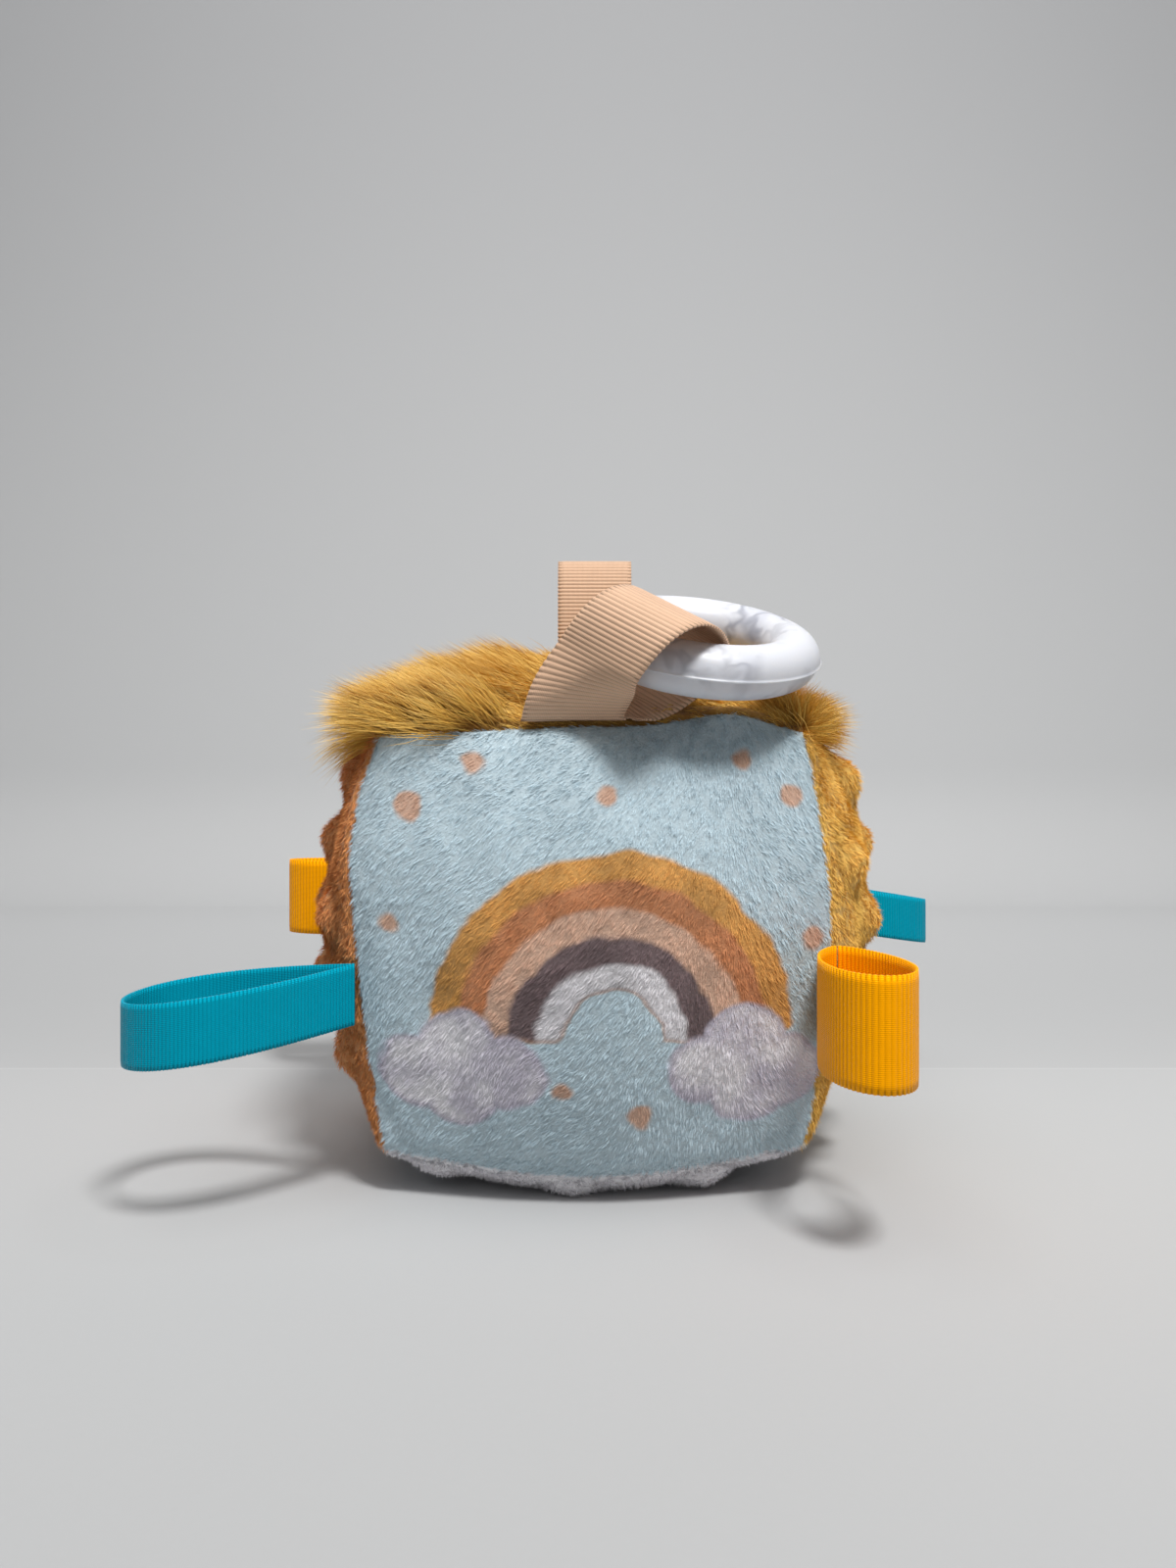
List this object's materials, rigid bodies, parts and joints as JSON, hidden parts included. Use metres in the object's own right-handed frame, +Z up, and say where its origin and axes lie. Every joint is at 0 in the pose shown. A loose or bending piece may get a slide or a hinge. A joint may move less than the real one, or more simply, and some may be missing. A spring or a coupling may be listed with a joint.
{
  "type": "soft fabric block",
  "caption": "Stuffed fabric cube for a baby, with plush and long-pile faces, raised dots, ribbon loops in its seams and a teething ring on a ribbon.",
  "frame": {"origin": "centre of the flat patch under the block, where it stands on a table", "axes": "+Z up; the pale blue front panel faces -Y; the rust panel is at -X and the mustard dotted panel at +X"},
  "size_m": [0.2303, 0.1801, 0.1812],
  "materials": {
    "plush_blue": "matte",
    "plush_rust": "matte",
    "plush_mustard": "matte",
    "fur_mustard": "matte",
    "plush_grey": "matte",
    "fibre": "matte",
    "ribbon_beige": "satin",
    "ribbon_teal": "satin",
    "ribbon_orange": "satin",
    "silicone_white": "satin"
  },
  "bodies": {
    "block": {"front_panel": "plush_blue", "back_panel": "plush_blue", "left_panel": "plush_rust", "right_panel": "plush_mustard", "top_panel": "fur_mustard", "bottom_panel": "plush_grey", "fibre_fill": "fibre"},
    "ring_strap": {"ring_loop": "ribbon_beige"},
    "ring": {"teething_ring": "silicone_white"},
    "rear_top_ribbon": {"rear_top_tag": "ribbon_beige"},
    "left_front_ribbon": {"left_front_tag": "ribbon_teal"},
    "left_rear_ribbon": {"left_rear_tag": "ribbon_orange"},
    "right_front_ribbon": {"right_front_tag": "ribbon_orange"},
    "right_rear_ribbon": {"right_rear_tag": "ribbon_teal"}
  },
  "joints": [
    {"name": "ring_loop_swing", "type": "hinge", "parent": "block", "child": "ring_strap", "pos_m": [-0.00542, -0.05885, 0.11988], "axis": [1, 0, 0], "range_deg": [0, 75]},
    {"name": "ring_spin", "type": "hinge", "parent": "ring_strap", "child": "ring", "pos_m": [0.0273, -0.0469, 0.13962], "axis": [0.105, -0.3746, 0.9212], "continuous": true},
    {"name": "rear_top_flex", "type": "hinge", "parent": "block", "child": "rear_top_ribbon", "pos_m": [0.00059, 0.05889, 0.11989], "axis": [1, 0, 0], "range_deg": [-115, 28], "stiffness_Nm_per_rad": 0.0004},
    {"name": "left_front_flex", "type": "hinge", "parent": "block", "child": "left_front_ribbon", "pos_m": [-0.05975, -0.05875, 0.05206], "axis": [0, 0, 1], "range_deg": [-25, 90], "stiffness_Nm_per_rad": 0.0004},
    {"name": "left_rear_flex", "type": "hinge", "parent": "block", "child": "left_rear_ribbon", "pos_m": [-0.05989, 0.05889, 0.065], "axis": [0, 0, 1], "range_deg": [-100, 30], "stiffness_Nm_per_rad": 0.0004},
    {"name": "right_front_flex", "type": "hinge", "parent": "block", "child": "right_front_ribbon", "pos_m": [0.05985, -0.05885, 0.05152], "axis": [0, 0, 1], "range_deg": [-15, 95], "stiffness_Nm_per_rad": 0.0004},
    {"name": "right_rear_flex", "type": "hinge", "parent": "block", "child": "right_rear_ribbon", "pos_m": [0.05989, 0.05889, 0.065], "axis": [0, 0, 1], "range_deg": [-35, 105], "stiffness_Nm_per_rad": 0.0004}
  ]
}
